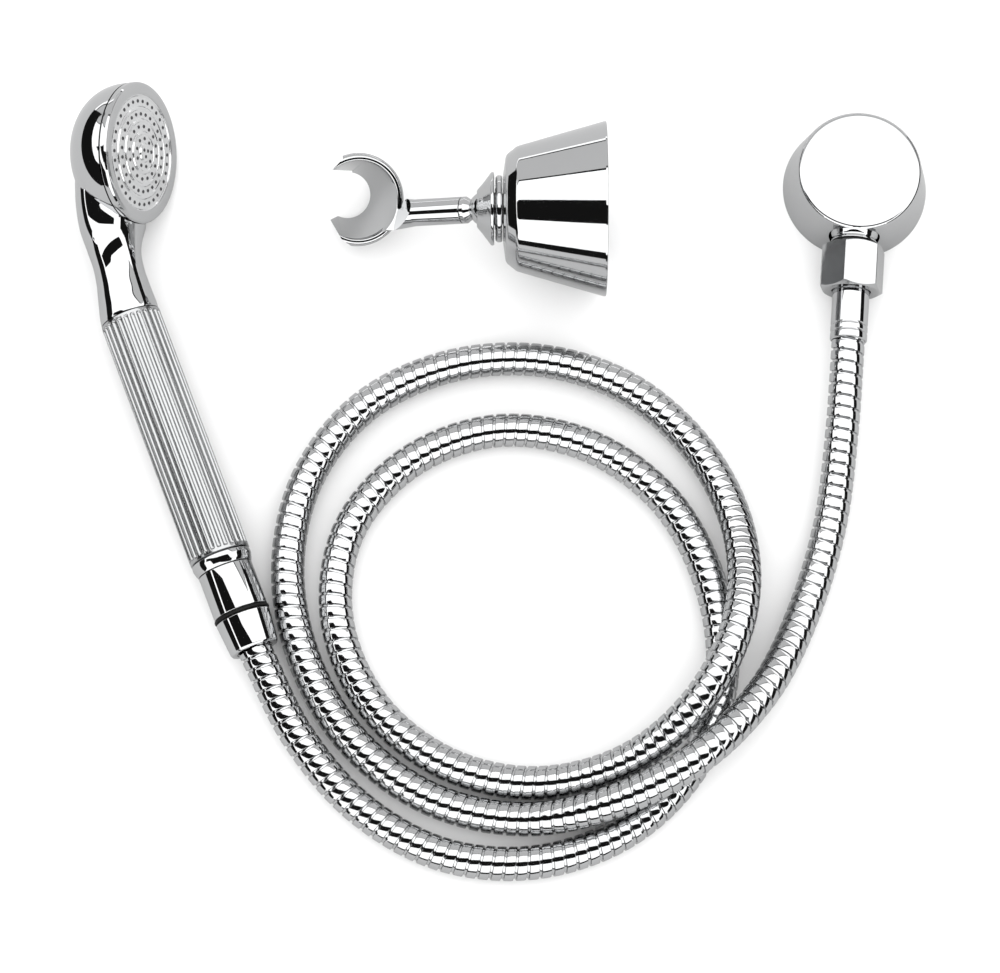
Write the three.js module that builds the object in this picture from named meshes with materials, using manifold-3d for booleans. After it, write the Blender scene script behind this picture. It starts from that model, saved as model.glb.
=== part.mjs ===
// A chrome hand shower set laid out flat: handset, metal hose, wall outlet elbow and wall bracket.
// Units are millimetres, +Z is up and the floor is z = 0.
import * as THREE from 'three';
import { mergeVertices } from 'three/addons/utils/BufferGeometryUtils.js';
import Module from 'manifold-3d';

const wasm = await Module();
wasm.setup();

// ---------------------------------------------------------------- driving dimensions

const GAP = 0.3;                       // clearance between touching pieces
const LARGE = 44;                      // facets round the widest pieces
const ROUND = 32;                      // facets round a middling piece
const FINE = 20;                       // facets round a small piece

const CENTRE_SHIFT = 0.85;             // along X, brings the middle of the set onto the origin

// Handset, measured up its own axis from the hose end of the cone nut.
const HANDSET_AT = [-102.05, -120.63, 12.1]; // where the axis of the cone nut ends
const HANDLE_TURN = 21.1;              // degrees from +Y towards -X
const HANDLE_RISE = 1.1;               // degrees that the handle climbs towards the head
const HANDSET_ROLL = 27;               // degrees that the face is rolled up from the floor
const GRIP_R = 12.7;
const GRIP_BASE_R = 12.1;              // at the bottom of the grooves
const RIBS = 28;
const NUT_TOP = 14.6;
const NUT_BORE = 9.3;
const NUT_FLOOR = 2.5;
const SLEEVE_BOTTOM = 16.5;
const SLEEVE_TOP = 35.4;
const SLEEVE_R = 11.4;
const COLLAR_TOP = 41;
const GRIP_TOP = 150.5;
const FACE_R = 29.6;
const FACE_OUT = 32;                   // how far the face centre stands in front of the axis
const FACE_UP = 212.3;
const FACE_TILT = 25;                  // degrees that the face looks down the handle
const BOWL_DEPTH = 27.7;
const BOWL_WALL = 2.2;
const WATERWAY_LEAN = 20.2;            // degrees, through the neck into the bowl
const BEZEL_BACK = -3.3;               // the shell ends this far behind the face plane
const TUBE_R = 7.5;                    // water tube through the handle
const TUBE_BORE = 5.5;
const TUBE_FOOT = 8.3;
const TUBE_TOP = 165;
const GRIP_BORE = 10.2;

// Hose.
const HOSE_R = 7;
const HOSE_SIDES = 10;
const HOSE_STEPS = 64;

// Wall outlet elbow, measured from the wall face up; its outlet leaves along -Y of its own group.
const OUTLET_AT = [148.87, 81.8];
const OUTLET_TURN = -4.5;
const COVER_R = 30.5;
const COVER_FACE_R = 25.7;
const COVER_H = 25;
const COVER_WALL = 2.2;
const OUTLET_Z = 14;                   // height of the outlet axis
const SPIGOT_R = 8.3;
const SPIGOT_END = 42;
const HEX_START = 30.3;
const HEX_END = 50.3;
const HEX_FLATS = 24;
const HEX_TURN = 15;
const FERRULE_R = 7.75;
const FERRULE_END = 70.9;
const VALVE_START = 20;
const VALVE_END = 40;
const VALVE_R = 5.9;
const WATERWAY_R = 4.5;
const WALL_PIPE_R = 9.5;
const SCREW_UP = 6;                    // set screw and grub screw sit this high over the wall
const INSERT_BORE = 3.4;               // of both hose inserts
const WASHER_BORE = 5;

// Bracket, measured from the wall face along its own axis, which points along -X.
const BRACKET_AT = [42, 60.8];
const CONE_R = 36.3;
const CONE_SMALL_R = 25.7;
const CONE_H = 42.7;
const CONE_WALL = 2.2;
const STEP_R = 13.9;
const BELL_R = 15.3;
const BELL_LOW = 46.4;
const BELL_MOUTH_R = 6.4;
const BALL_AT = 49.5;
const BALL_R = 7.5;
const SEAT_R = 9.3;
const SEAT_EDGE = 3.4;                 // the seat ends this far behind the ball's centre
const SEAT_ROOM_R = 9.9;
const STEM_R = 5.6;
const STEM_NECK_R = 4.2;
const ARM_DROOP = 20.86;               // degrees that the stem hangs below the cone's axis
const ARM_PAN = 4.1;
const STEM_SEAM = 10.5;                // where the cradle's stem meets the short neck of the ball
const CRADLE_REACH = 61.1;             // ball centre to beside the middle of the cradle, along the stem
const STEM_FLARE = 29;           // from the cradle's middle back to where the stem starts to widen
const STEM_END = 14;             // and to where it ends, inside the ring
const CRADLE_OFFSET = 8.7;             // the ring sits this far beside the stem's axis
const CRADLE_RAISE = 3;                // and this far up its own bore
const CRADLE_R = 19.7;
const CRADLE_H = 22;
const CRADLE_BORE_TOP = 16.6;
const CRADLE_BORE_BOTTOM = 9.5;
const CRADLE_FOOT_R = 16.6;            // outside, at the lower end
const CRADLE_AXIS = [0.2563, -0.4065, 0.8771];
const FLAT_AXIS = [0.3, -0.2, 0.93];    // the stem's end is cut to a flat that faces this way
const MOUTH_AXIS = [0.04, -0.325, 0.945]; // the mouth between the horns is cut along this
// Outline of what the mouth takes away, round the middle of the ring: right and up across MOUTH_AXIS.
const MOUTH = [
  [-60, -60], [0.1, -60], [0.1, -21], [-4.9, -17.4], [-9.7, -9.3], [-6.2, -7.6], [-0.5, -7.6],
  [-0.5, 11.3], [-8.7, 11.5], [-4.4, 15.9], [-4.4, 60], [-60, 60],
];

// Middle line of the hose, from the outlet ferrule to the cone nut.
const HOSE_ROUTE = [
  [143.23, 10.12, 14], [140, -28, 10.5], [134.5, -66.5, 7.4], [123, -103.5, 8],
  [105.5, -138, 15], [79, -166, 22], [44.5, -184, 18], [7, -190, 9],
  [-31, -181, 7.4], [-62, -157.5, 7], [-82, -124, 7], [-89.5, -85.5, 7],
  [-82, -47.5, 7], [-59, -16.5, 7], [-24.5, 1, 7], [14.5, 4, 7],
  [51, -8, 7.2], [80, -34.5, 7.5], [96, -69.5, 12], [96, -107, 20],
  [79.5, -142, 21.5], [51, -166, 14], [13.5, -175, 8], [-23.5, -167, 7.4],
  [-53.5, -143, 7], [-69, -107, 7], [-64.5, -69.5, 7], [-39.5, -40, 7],
  [-3, -26.5, 7], [35, -33, 7], [66, -56, 7], [84, -90, 7],
  [89, -128.5, 7], [77.5, -165.5, 7], [50.5, -193.5, 7], [13.5, -207, 7],
  [-25, -204, 7], [-59, -185, 7.3], [-84.5, -155.5, 9.5], [-101.69, -121.56, 12.1],
];

// ---------------------------------------------------------------- helpers

const radians = THREE.MathUtils.degToRad;

function volume(geometry) {
  const p = geometry.attributes.position;
  const index = geometry.index.array;
  const [a, b, c] = [new THREE.Vector3(), new THREE.Vector3(), new THREE.Vector3()];
  let sum = 0;
  for (let i = 0; i < index.length; i += 3) {
    a.fromBufferAttribute(p, index[i]);
    b.fromBufferAttribute(p, index[i + 1]);
    c.fromBufferAttribute(p, index[i + 2]);
    sum += a.dot(b.cross(c)) / 6;
  }
  return sum;
}

// A solid from any closed geometry: shared corners merged, faces turned to point out.
function solid(geometry) {
  geometry.deleteAttribute('normal');
  geometry.deleteAttribute('uv');
  const merged = mergeVertices(geometry, 1e-4);
  const index = Uint32Array.from(merged.index.array);
  const kept = [];
  for (let i = 0; i < index.length; i += 3) {
    const [a, b, c] = [index[i], index[i + 1], index[i + 2]];
    if (a !== b && b !== c && a !== c) kept.push(a, b, c);
  }
  merged.setIndex(kept);
  if (volume(merged) < 0) {
    for (let i = 0; i < kept.length; i += 3) [kept[i], kept[i + 1]] = [kept[i + 1], kept[i]];
    merged.setIndex(kept);
  }
  return new wasm.Manifold(new wasm.Mesh({
    numProp: 3,
    vertProperties: Float32Array.from(merged.attributes.position.array),
    triVerts: Uint32Array.from(merged.index.array),
  }));
}

function geometryOf(body) {
  const mesh = body.getMesh();
  const geometry = new THREE.BufferGeometry();
  geometry.setAttribute('position', new THREE.BufferAttribute(mesh.vertProperties, 3));
  geometry.setIndex(new THREE.BufferAttribute(mesh.triVerts, 1));
  geometry.computeVertexNormals();
  return geometry;
}

// Turn a profile of [radius, height] points round the Z axis.
function turned(profile, facets = ROUND) {
  const points = profile.map(([r, z]) => new THREE.Vector2(r, z));
  return solid(new THREE.LatheGeometry(points, facets).rotateX(Math.PI / 2));
}

// A tube or ring between two heights; an inner radius of 0 makes a plain disc.
function ring(outer, inner, low, high, facets = ROUND) {
  if (inner === 0) return turned([[0, low], [outer, low], [outer, high], [0, high]], facets);
  return turned([[inner, low], [outer, low], [outer, high], [inner, high], [inner, low]], facets);
}

function moved(body, x, y, z) {
  return body.translate([x, y, z]);
}

// Turn a body made along +Z so that it runs along -Y at the outlet's height.
function alongOutlet(body) {
  return body.rotate([90, 0, 0]).translate([0, 0, OUTLET_Z]);
}

const FINISHES = {
  chrome: { color: 0xdfe3e6, roughness: 0.08, metalness: 1 },
  brass: { color: 0xc9a75a, roughness: 0.35, metalness: 1 },
  steel: { color: 0xb9bcbf, roughness: 0.3, metalness: 1 },
  rubber: { color: 0x151515, roughness: 0.7, metalness: 0 },
  plastic: { color: 0xe9e7e0, roughness: 0.5, metalness: 0 },
};

function piece(name, finish, body) {
  const mesh = new THREE.Mesh(geometryOf(body), new THREE.MeshStandardMaterial(FINISHES[finish]));
  mesh.name = name;
  return mesh;
}

// ---------------------------------------------------------------- wall outlet elbow

function outletCover() {
  const inside = COVER_H - COVER_WALL;
  const shell = turned([
    [COVER_R - COVER_WALL, 0], [COVER_R, 0], [COVER_FACE_R + 0.1, COVER_H - 0.6],
    [COVER_FACE_R - 0.7, COVER_H],
    [0, COVER_H], [0, inside], [COVER_FACE_R - COVER_WALL - 1, inside], [COVER_R - COVER_WALL, 0],
  ], LARGE);
  const neckHole = alongOutlet(ring(SPIGOT_R + GAP, 0, 20, 40, FINE));
  const screwHole = moved(ring(2.3, 0, 20, 40, FINE).rotate([-90, 0, 0]), 0, 0, SCREW_UP);
  return shell.subtract(neckHole).subtract(screwHole);
}

function outletBody() {
  const block = ring(16, 0, 2.3, 22.4, FINE);
  const spigot = alongOutlet(ring(SPIGOT_R, 0, 0, SPIGOT_END, FINE));
  const wallSocket = ring(WALL_PIPE_R, 0, 0, 15, FINE);
  const waterway = alongOutlet(ring(WATERWAY_R, 0, 0, 60, FINE));
  const valveSeat = alongOutlet(ring(VALVE_R + GAP, 0, VALVE_START - GAP, 60, FINE));
  return block.add(spigot).subtract(wallSocket).subtract(waterway).subtract(valveSeat);
}

function wallGasket() {
  return ring(27, 17, 0, 2);
}

function coverSetScrew() {
  const screw = turned([[0, 17.5], [2, 17.5], [2, 29], [1.2, 29], [1.2, 27.5], [0, 27.5]], 12);
  return moved(screw.rotate([-90, 0, 0]), 0, 0, SCREW_UP);
}

function checkValveBody() {
  const tube = turned([
    [3, VALVE_START], [VALVE_R, VALVE_START], [VALVE_R, VALVE_END], [3.2, VALVE_END],
    [3.2, VALVE_END - 1.5], [4.9, VALVE_END - 1.5], [4.9, VALVE_START + 1.5], [3, VALVE_START + 1.5],
    [3, VALVE_START],
  ], FINE);
  return alongOutlet(tube);
}

function checkValvePoppet() {
  const face = VALVE_START + 1.5 + GAP;
  const poppet = turned([
    [0, face], [4.2, face], [4.2, face + 1.5], [1.2, face + 2.5], [1.2, VALVE_END - 5], [0, VALVE_END - 5],
  ], FINE);
  return alongOutlet(poppet);
}

function checkValveSpring() {
  const [low, high, turns, radius] = [VALVE_START + 5.2, VALVE_END - 2.4, 4, 3.6];
  const steps = turns * 12;
  const line = [];
  for (let i = 0; i <= steps; i += 1) {
    const angle = (i / steps) * turns * 2 * Math.PI;
    line.push(new THREE.Vector3(
      radius * Math.cos(angle), radius * Math.sin(angle), low + ((high - low) * i) / steps));
  }
  const wire = new THREE.Shape();
  wire.absarc(0, 0, 0.35, 0, 2 * Math.PI);
  const coil = new THREE.ExtrudeGeometry(wire, {
    curveSegments: 3, steps, extrudePath: new THREE.CatmullRomCurve3(line),
  });
  return alongOutlet(solid(coil));
}

function hexNut() {
  const corner = HEX_FLATS / Math.sqrt(3);
  const outline = new THREE.Shape();
  for (let i = 0; i < 6; i += 1) {
    const angle = radians(60 * i + HEX_TURN - 90);
    const [x, y] = [corner * Math.cos(angle), corner * Math.sin(angle)];
    if (i === 0) outline.moveTo(x, y);
    else outline.lineTo(x, y);
  }
  outline.closePath();
  const length = HEX_END - HEX_START;
  const prism = solid(new THREE.ExtrudeGeometry(outline, { depth: length, bevelEnabled: false }));
  const chamfers = turned([
    [0, 0], [11.3, 0], [corner + 0.4, 1.6], [corner + 0.4, length - 1.6], [11.3, length], [0, length],
  ]);
  const bore = ring(SPIGOT_R + GAP, 0, -1, length - 3.5, FINE);
  const rearHole = ring(FERRULE_R + GAP, 0, 0, length + 1, FINE);
  return alongOutlet(moved(prism.intersect(chamfers).subtract(bore).subtract(rearHole), 0, 0, HEX_START));
}

function hoseWasherOutlet() {
  return alongOutlet(ring(SPIGOT_R - 0.1, WASHER_BORE, SPIGOT_END + GAP, SPIGOT_END + 2, FINE));
}

function hoseInsertOutlet() {
  const flange = SPIGOT_END + 2 + GAP;
  return alongOutlet(turned([
    [INSERT_BORE, flange], [SPIGOT_R, flange], [SPIGOT_R, flange + 2], [4.9, flange + 2],
    [4.9, FERRULE_END - 1], [INSERT_BORE, FERRULE_END - 1], [INSERT_BORE, flange],
  ], FINE));
}

function ferruleOutlet() {
  const start = SPIGOT_END + 4 + 2 * GAP;
  return alongOutlet(turned([
    [5.2, start], [FERRULE_R, start], [FERRULE_R, FERRULE_END - 6],
    [FERRULE_R - 0.6, FERRULE_END - 5.4], [FERRULE_R, FERRULE_END - 4.8],
    [FERRULE_R, FERRULE_END - 3], [FERRULE_R - 0.6, FERRULE_END - 2.4], [FERRULE_R, FERRULE_END - 1.8],
    [FERRULE_R, FERRULE_END - 0.6], [FERRULE_R - 0.6, FERRULE_END], [5.2, FERRULE_END], [5.2, start],
  ], FINE));
}

function makeOutlet() {
  const outlet = new THREE.Group();
  outlet.add(
    piece('outlet_cover', 'chrome', outletCover()),
    piece('outlet_body', 'brass', outletBody()),
    piece('wall_gasket', 'rubber', wallGasket()),
    piece('cover_set_screw', 'steel', coverSetScrew()),
    piece('check_valve_body', 'plastic', checkValveBody()),
    piece('check_valve_poppet', 'plastic', checkValvePoppet()),
    piece('check_valve_spring', 'steel', checkValveSpring()),
    piece('hex_nut', 'chrome', hexNut()),
    piece('hose_washer_outlet', 'rubber', hoseWasherOutlet()),
    piece('hose_insert_outlet', 'brass', hoseInsertOutlet()),
    piece('ferrule_outlet', 'chrome', ferruleOutlet()),
  );
  outlet.position.set(OUTLET_AT[0], OUTLET_AT[1], 0);
  outlet.rotation.z = radians(OUTLET_TURN);
  return outlet;
}

// ---------------------------------------------------------------- hose

function makeHose() {
  const stops = HOSE_ROUTE.map((p) => new THREE.Vector3(...p));
  const route = new THREE.CatmullRomCurve3(stops, false, 'centripetal');
  const section = new THREE.Shape();
  for (let i = 0; i < HOSE_SIDES; i += 1) {
    const angle = (i * 2 * Math.PI) / HOSE_SIDES;
    const [x, y] = [HOSE_R * Math.cos(angle), HOSE_R * Math.sin(angle)];
    if (i === 0) section.moveTo(x, y);
    else section.lineTo(x, y);
  }
  section.closePath();
  return piece('hose', 'chrome', solid(new THREE.ExtrudeGeometry(section, {
    steps: HOSE_STEPS, extrudePath: route,
  })));
}

// ---------------------------------------------------------------- handset

function coneNut() {
  return turned([
    [7.6, 0], [9.6, 0], [10.1, 0.5], [11.5, NUT_TOP - 0.4], [11.3, NUT_TOP], [NUT_BORE, NUT_TOP],
    [NUT_BORE, NUT_FLOOR], [7.6, NUT_FLOOR], [7.6, 0],
  ]);
}

function hoseInsertHandset() {
  return turned([
    [INSERT_BORE, 0], [7.3, 0], [7.3, NUT_FLOOR + GAP], [9, NUT_FLOOR + GAP], [9, 4.8], [INSERT_BORE, 4.8],
    [INSERT_BORE, 0],
  ], FINE);
}

function inletFilter() {
  const rim = ring(8.9, 6, 7.2, 8, FINE);
  const bar = solid(new THREE.BoxGeometry(13, 1, 0.8).translate(0, 0, 7.6));
  return rim.add(bar).add(bar.rotate([0, 0, 90]));
}

function handleTube() {
  return turned([
    [TUBE_BORE, TUBE_FOOT], [9, TUBE_FOOT], [9, 16], [TUBE_R, 17], [TUBE_R, TUBE_TOP], [TUBE_BORE, TUBE_TOP],
    [TUBE_BORE, TUBE_FOOT],
  ], FINE);
}

function lowerSleeve() {
  return turned([
    [TUBE_R + GAP, SLEEVE_BOTTOM + 1], [9.5, SLEEVE_BOTTOM], [SLEEVE_R, SLEEVE_BOTTOM],
    [SLEEVE_R, SLEEVE_TOP], [TUBE_R + GAP, SLEEVE_TOP], [TUBE_R + GAP, SLEEVE_BOTTOM + 1],
  ]);
}

function gripCollar() {
  const bottom = SLEEVE_TOP + GAP;
  return turned([
    [TUBE_R + GAP, bottom], [11.6, bottom], [12.2, bottom + 1.2], [12.6, bottom + 3.4],
    [12.5, COLLAR_TOP - 0.4], [12.1, COLLAR_TOP], [TUBE_R + GAP, COLLAR_TOP], [TUBE_R + GAP, bottom],
  ]);
}

function gripSleeve() {
  const outline = new THREE.Shape();
  for (let i = 0; i < RIBS; i += 1) {
    for (const [share, radius] of [[0.1, GRIP_BASE_R], [0.3, GRIP_R], [0.8, GRIP_R]]) {
      const angle = ((i + share) * 2 * Math.PI) / RIBS;
      const [x, y] = [radius * Math.cos(angle), radius * Math.sin(angle)];
      if (i === 0 && share === 0.1) outline.moveTo(x, y);
      else outline.lineTo(x, y);
    }
  }
  outline.closePath();
  const bore = new THREE.Path();
  bore.absarc(0, 0, GRIP_BORE, 0, 2 * Math.PI);
  outline.holes.push(bore);
  const low = COLLAR_TOP + GAP;
  const sleeve = new THREE.ExtrudeGeometry(outline, {
    depth: GRIP_TOP - low, bevelEnabled: false, curveSegments: FINE,
  });
  return moved(solid(sleeve), 0, 0, low);
}

// The outside of the neck, as level sections: height, how far forward, half depth, half width.
const NECK = [
  [150.8, 0, 12.4, 12.4], [152, 0.1, 12.5, 12.5], [160, 1.1, 11.6, 11.6], [170, 2.7, 10.5, 10.6],
  [176, 3.8, 10.6, 10.9], [182, 5.5, 11.7, 13.2], [186, 6.9, 12.4, 16.2], [190, 7.8, 12.8, 18],
  [196, 9.4, 12.8, 19.6], [204, 12.6, 13.2, 21], [212, 16.6, 13.6, 21.6], [220, 20.8, 12.8, 20],
];

function neck() {
  const rings = NECK.map(([z, x, depth, width]) => {
    const points = [];
    for (let i = 0; i < FINE; i += 1) {
      const angle = (i * 2 * Math.PI) / FINE;
      points.push(x + depth * Math.cos(angle), width * Math.sin(angle), z);
    }
    return points;
  });
  const count = NECK.length;
  const positions = rings.flat();
  positions.push(NECK[0][1], 0, NECK[0][0], NECK[count - 1][1], 0, NECK[count - 1][0]);
  const [bottom, top] = [count * FINE, count * FINE + 1];
  const faces = [];
  for (let i = 0; i < FINE; i += 1) {
    const next = (i + 1) % FINE;
    for (let level = 0; level + 1 < count; level += 1) {
      const [a, b] = [level * FINE + i, level * FINE + next];
      faces.push(a, b, b + FINE, a, b + FINE, a + FINE);
    }
    faces.push(bottom, next, i, top, (count - 1) * FINE + i, (count - 1) * FINE + next);
  }
  const geometry = new THREE.BufferGeometry();
  geometry.setAttribute('position', new THREE.Float32BufferAttribute(positions, 3));
  geometry.setIndex(faces);
  return solid(geometry);
}

// Half of a rounded bowl that opens at height 0 and is closed at -depth.
function bowl(radius, depth, mouth) {
  const profile = [[0, mouth], [radius, mouth]];
  const steps = 8;
  for (let i = 0; i < steps; i += 1) {
    const angle = (i / steps) * (Math.PI / 2);
    const [r, z] = [Math.cos(angle) ** (2 / 2.3), Math.sin(angle) ** (2 / 2.3)];
    profile.push([radius * r, Math.min(mouth, 0) - (depth + Math.min(mouth, 0)) * z]);
  }
  profile.push([0, -depth]);
  return turned(profile, LARGE);
}

// Turn a body made round the face's own axis into the handset's frame.
function atFace(body) {
  return body.rotate([0, 90 + FACE_TILT, 0]).translate([FACE_OUT, 0, FACE_UP]);
}

function headShell() {
  const outside = atFace(bowl(FACE_R - 0.2, BOWL_DEPTH, BEZEL_BACK)).add(neck());
  const bezelRoom = atFace(ring(FACE_R + GAP, 0, BEZEL_BACK, 12, LARGE));
  const hollow = atFace(bowl(FACE_R - BOWL_WALL, BOWL_DEPTH - BOWL_WALL, 2));
  const socket = ring(TUBE_R + GAP, 0, 140, TUBE_TOP + 1, FINE);
  const waterway = ring(WATERWAY_R, 0, 0, 50, FINE)
    .rotate([0, WATERWAY_LEAN, 0])
    .translate([0, 0, TUBE_TOP - 5]);
  return outside.subtract(bezelRoom).subtract(hollow).subtract(socket).subtract(waterway);
}

function flowDisc() {
  let disc = ring(24.5, 0, -8.6, -6.6);
  for (let i = 0; i < 6; i += 1) {
    const angle = (i * Math.PI) / 3;
    disc = disc.subtract(moved(ring(2, 0, -10, 0, 10), 15 * Math.cos(angle), 15 * Math.sin(angle), 0));
  }
  return atFace(disc);
}

function faceGasket() {
  return atFace(ring(26.6, 22.5, -5.2, -3.6));
}

function sprayFace() {
  return atFace(turned([
    [0, -2.6], [24.6, -2.6], [24.6, 0.2], [21.4, 0.2], [20.6, -0.4], [16.4, -0.2], [15.8, 0.5],
    [11.6, 0.7], [11, 1.3], [6.6, 1.5], [6, 2.1], [0, 2.2],
  ], 48));
}

function faceBezel() {
  return atFace(turned([
    [24.9, -3], [FACE_R - 0.4, -3], [FACE_R, -2.4], [FACE_R, -0.6], [FACE_R - 0.8, 0.3], [FACE_R - 2, 0.7],
    [25.6, 0.7], [24.9, 0.1], [24.9, -3],
  ], 48));
}

function makeHandset() {
  const parts = new THREE.Group();
  parts.add(
    piece('hose_insert_handset', 'brass', hoseInsertHandset()),
    piece('hose_washer_handset', 'rubber', ring(8.9, WASHER_BORE, 5.1, 6.9, FINE)),
    piece('cone_nut', 'chrome', coneNut()),
    piece('inlet_filter', 'steel', inletFilter()),
    piece('swivel_ring', 'rubber', ring(11.75, NUT_BORE, NUT_TOP + GAP, SLEEVE_BOTTOM - GAP)),
    piece('handle_tube', 'brass', handleTube()),
    piece('lower_sleeve', 'chrome', lowerSleeve()),
    piece('grip_collar', 'chrome', gripCollar()),
    piece('grip_sleeve', 'chrome', gripSleeve()),
    piece('grip_oring_lower', 'rubber', ring(GRIP_BORE - GAP, TUBE_R + GAP, 46, 48.4, FINE)),
    piece('grip_oring_upper', 'rubber', ring(GRIP_BORE - GAP, TUBE_R + GAP, 145, 147.4, FINE)),
    piece('head_shell', 'chrome', headShell()),
    piece('flow_disc', 'plastic', flowDisc()),
    piece('face_gasket', 'rubber', faceGasket()),
    piece('spray_face', 'chrome', sprayFace()),
    piece('face_bezel', 'chrome', faceBezel()),
  );
  parts.rotation.z = radians(-HANDSET_ROLL);
  const laid = new THREE.Group();
  laid.add(parts);
  laid.rotation.x = radians(HANDLE_RISE - 90);
  const handset = new THREE.Group();
  handset.add(laid);
  handset.position.set(...HANDSET_AT);
  handset.rotation.z = radians(HANDLE_TURN);
  return handset;
}

// ---------------------------------------------------------------- bracket

function escutcheon() {
  const shell = turned([
    [CONE_R - CONE_WALL, 0], [CONE_R, 0], [CONE_R, 0.8], [CONE_SMALL_R, 37.3], [24.8, 39.2],
    [22.6, 40.9], [19, 42.1], [14, CONE_H], [8.5, CONE_H], [8.5, CONE_H - CONE_WALL],
    [20, 39.5], [22.6, 36.8], [CONE_R - CONE_WALL, 0],
  ], LARGE);
  const screwHole = moved(ring(2, 0, 25, 45, FINE).rotate([0, -90, 0]), 0, 0, SCREW_UP);
  return shell.subtract(screwHole);
}

function mountingPlate() {
  const plate = ring(31.5, 0, 0, 3);
  const lug = solid(new THREE.BoxGeometry(5, 10, 9).translate(-28, 0, 5.5));
  const post = ring(7, 0, 0, 38, FINE);
  let body = plate.add(post).add(lug);
  for (const side of [-1, 1]) {
    body = body.subtract(moved(ring(2.6, 0, -1, 10, FINE), 0, 20 * side, 0));
  }
  return body;
}

function grubScrew() {
  const screw = turned([[0, 30.8], [1.7, 30.8], [1.7, 35.8], [0.9, 35.8], [0.9, 34.8], [0, 34.8]], 12);
  return moved(screw.rotate([0, -90, 0]), 0, 0, SCREW_UP);
}

function stepRing() {
  const low = CONE_H + GAP;
  return turned([
    [SEAT_ROOM_R, low], [STEP_R - 0.6, low], [STEP_R, low + 0.8], [STEP_R, low + 2],
    [STEP_R - 0.8, low + 2.9],
    [SEAT_ROOM_R, low + 2.9], [SEAT_ROOM_R, low],
  ]);
}

// The nylon seat is a round shell behind the ball, so it can swing with it.
function ballSeat() {
  const shell = ballSphere(SEAT_R).subtract(ballSphere(BALL_R + GAP));
  return shell.intersect(ring(SEAT_R + 1, 0, BALL_AT - SEAT_R - 1, BALL_AT - SEAT_EDGE, FINE));
}

function ballSphere(radius) {
  return solid(new THREE.SphereGeometry(radius, FINE, 14).rotateX(Math.PI / 2).translate(0, 0, BALL_AT));
}

function bellCollar() {
  const low = BELL_LOW;
  const outside = turned([
    [0, low], [BELL_R - 0.4, low], [BELL_R, low + 0.5], [BELL_R - 0.2, low + 1.3], [13, low + 2.9],
    [10.8, low + 4.6], [8.8, low + 6.2], [8, low + 6.9], [7.6, low + 7.2], [0, low + 7.2],
  ]);
  const seat = ballSphere(BALL_R + GAP);
  const mouth = ring(BELL_MOUTH_R, 0, BALL_AT + 2, 60, FINE);
  const back = ring(SEAT_ROOM_R, 0, low - 1, BALL_AT - 0.4, FINE);
  return outside.subtract(seat).subtract(mouth).subtract(back);
}

// Everything on the arm is made along +Z from the ball's centre.
function ballStem() {
  const ball = solid(new THREE.SphereGeometry(BALL_R, FINE, 14).rotateX(Math.PI / 2));
  const stem = turned([
    [0, 3], [STEM_NECK_R, 3], [STEM_NECK_R, 6.6], [5, 8.1], [STEM_R, 8.8],
    [STEM_R, STEM_SEAM], [0, STEM_SEAM],
  ], FINE);
  return ball.add(stem);
}

// The cradle's own frame: its bore runs along +Z and its arm leaves along +X.
function cradleRing() {
  const half = CRADLE_H / 2;
  return turned([
    [CRADLE_BORE_BOTTOM, -half], [CRADLE_FOOT_R - 1, -half], [CRADLE_FOOT_R, -half + 1.2],
    [CRADLE_R, half - 2], [CRADLE_R - 1.2, half], [CRADLE_BORE_TOP, half], [CRADLE_BORE_BOTTOM, -half],
  ], LARGE);
}

// What the stem keeps clear of inside the ring, in the ring's frame.
function cradleBore() {
  const half = CRADLE_H / 2;
  return turned([
    [0, -half - 15], [CRADLE_BORE_BOTTOM, -half - 15], [CRADLE_BORE_BOTTOM, -half], [CRADLE_BORE_TOP, half],
    [CRADLE_BORE_TOP, half + 15], [0, half + 15],
  ], LARGE);
}

function cradleMouth() {
  const outline = new THREE.Shape(MOUTH.map(([x, y]) => new THREE.Vector2(x, y)));
  return solid(new THREE.ExtrudeGeometry(outline, { depth: 90, bevelEnabled: false }).translate(0, 0, -45));
}

// A frame with its Z along a direction and its X as near as can be to the world's X.
function frameAlong(direction) {
  const level = new THREE.Vector3(1, 0, 0);
  const side = level.addScaledVector(direction, -level.dot(direction)).normalize();
  return new THREE.Matrix4().makeBasis(side, direction.clone().cross(side), direction);
}

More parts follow.
